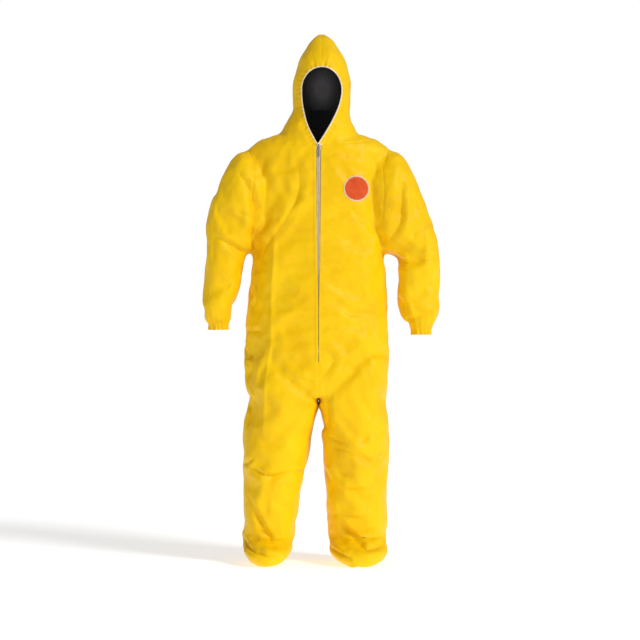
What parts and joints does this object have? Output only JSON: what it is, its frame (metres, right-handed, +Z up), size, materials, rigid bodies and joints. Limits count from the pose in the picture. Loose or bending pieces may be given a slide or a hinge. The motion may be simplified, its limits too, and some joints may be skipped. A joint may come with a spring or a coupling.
{
  "type": "chemical protective suit",
  "caption": "One-piece hooded protective coverall in coated fabric, with a long front zip, gathered cuffs, an elastic face opening and attached socks.",
  "frame": {"origin": "inside the shoulders, on the middle plane, 45 mm under the neck seam at the sides: the line that the wearer's shoulders or a coat hanger carry", "axes": "+Z up to the hood's peak, -Y out of the front zip, +X towards the wearer's left"},
  "size_m": [0.834, 0.3251, 1.844],
  "materials": {
    "yellow_laminate": "smooth film-coated nonwoven with a soft satin sheen and fine creases",
    "dark_lining": "matte dark inner face",
    "pale_binding": "soft pale stretch binding",
    "pale_elastic": "ribbed pale elastic",
    "zip_tape": "woven cream tape",
    "zip_teeth": "moulded cream coil",
    "zip_metal": "polished die-cast zinc alloy",
    "badge_border": "pale printed border",
    "badge_face": "matte orange-red print"
  },
  "bodies": {
    "torso": {"left_front_panel": "yellow_laminate", "right_front_panel": "yellow_laminate", "back_panel": "yellow_laminate", "badge_border": "badge_border", "badge_face": "badge_face", "left_zip_tape": "zip_tape", "right_zip_tape": "zip_tape", "left_zip_teeth": "zip_teeth", "right_zip_teeth": "zip_teeth", "left_top_stop": "zip_metal", "right_top_stop": "zip_metal", "bottom_stop": "zip_metal", "neck_fold": "yellow_laminate", "left_neck_binding": "pale_binding", "right_neck_binding": "pale_binding", "left_sleeve_cap": "yellow_laminate", "right_sleeve_cap": "yellow_laminate", "left_seat": "yellow_laminate", "right_seat": "yellow_laminate"},
    "hood": {"hood_left_panel": "yellow_laminate", "hood_right_panel": "yellow_laminate", "face_binding": "pale_binding", "face_elastic": "pale_elastic", "hood_lining": "dark_lining"},
    "left_upper_arm": {"left_upper_sleeve": "yellow_laminate", "left_elbow_fold": "yellow_laminate"},
    "left_forearm": {"left_lower_sleeve": "yellow_laminate", "left_cuff": "yellow_laminate", "left_wrist_elastic": "pale_elastic"},
    "left_upper_leg": {"left_thigh": "yellow_laminate", "left_knee_fold": "yellow_laminate"},
    "left_lower_leg": {"left_shin": "yellow_laminate", "left_ankle_fold": "yellow_laminate"},
    "left_foot": {"left_sock": "yellow_laminate", "left_sock_sole": "yellow_laminate"},
    "right_upper_arm": {"right_upper_sleeve": "yellow_laminate", "right_elbow_fold": "yellow_laminate"},
    "right_forearm": {"right_lower_sleeve": "yellow_laminate", "right_cuff": "yellow_laminate", "right_wrist_elastic": "pale_elastic"},
    "right_upper_leg": {"right_thigh": "yellow_laminate", "right_knee_fold": "yellow_laminate"},
    "right_lower_leg": {"right_shin": "yellow_laminate", "right_ankle_fold": "yellow_laminate"},
    "right_foot": {"right_sock": "yellow_laminate", "right_sock_sole": "yellow_laminate"},
    "slider": {"zip_slider": "zip_metal"},
    "pull": {"zip_pull": "zip_metal"}
  },
  "joints": [
    {"name": "hood_back", "type": "hinge", "parent": "torso", "child": "hood", "pos_m": [0.01, 0.06, 0.065], "axis": [-1, 0, 0], "range_deg": [0, 25], "deforming": ["neck_fold", "left_neck_binding", "right_neck_binding"]},
    {"name": "left_shoulder", "type": "hinge", "parent": "torso", "child": "left_upper_arm", "pos_m": [0.29, -0.005, -0.265], "axis": [0, -1, 0], "range_deg": [0, 30], "deforming": ["left_sleeve_cap"]},
    {"name": "left_elbow", "type": "hinge", "parent": "left_upper_arm", "child": "left_forearm", "pos_m": [0.35, 0, -0.4], "axis": [-1, 0, 0], "range_deg": [0, 65], "deforming": ["left_elbow_fold"]},
    {"name": "left_hip", "type": "hinge", "parent": "torso", "child": "left_upper_leg", "pos_m": [0.13, 0, -0.765], "axis": [-1, 0, 0], "range_deg": [0, 35], "deforming": ["left_seat"]},
    {"name": "left_knee", "type": "hinge", "parent": "left_upper_leg", "child": "left_lower_leg", "pos_m": [0.135, -0.025, -1.05], "axis": [1, 0, 0], "range_deg": [0, 50], "deforming": ["left_knee_fold"]},
    {"name": "left_ankle", "type": "hinge", "parent": "left_lower_leg", "child": "left_foot", "pos_m": [0.14, 0, -1.34], "axis": [-1, 0, 0], "range_deg": [0, 18], "deforming": ["left_ankle_fold"]},
    {"name": "right_shoulder", "type": "hinge", "parent": "torso", "child": "right_upper_arm", "pos_m": [-0.29, -0.005, -0.265], "axis": [0, 1, 0], "range_deg": [0, 30], "deforming": ["right_sleeve_cap"]},
    {"name": "right_elbow", "type": "hinge", "parent": "right_upper_arm", "child": "right_forearm", "pos_m": [-0.35, 0, -0.4], "axis": [-1, 0, 0], "range_deg": [0, 65], "deforming": ["right_elbow_fold"]},
    {"name": "right_hip", "type": "hinge", "parent": "torso", "child": "right_upper_leg", "pos_m": [-0.13, 0, -0.765], "axis": [-1, 0, 0], "range_deg": [0, 35], "deforming": ["right_seat"]},
    {"name": "right_knee", "type": "hinge", "parent": "right_upper_leg", "child": "right_lower_leg", "pos_m": [-0.135, -0.025, -1.05], "axis": [1, 0, 0], "range_deg": [0, 50], "deforming": ["right_knee_fold"]},
    {"name": "right_ankle", "type": "hinge", "parent": "right_lower_leg", "child": "right_foot", "pos_m": [-0.175, 0, -1.34], "axis": [-1, 0, 0], "range_deg": [0, 18], "deforming": ["right_ankle_fold"]},
    {"name": "zip_run", "type": "slide", "parent": "torso", "child": "slider", "axis": [0, -0.0599, -0.9982], "range_m": [0, 0.722]},
    {"name": "zip_pull_swing", "type": "hinge", "parent": "slider", "child": "pull", "pos_m": [0, -0.10956, -0.00268], "axis": [-1, 0, 0], "range_deg": [0, 170]}
  ]
}
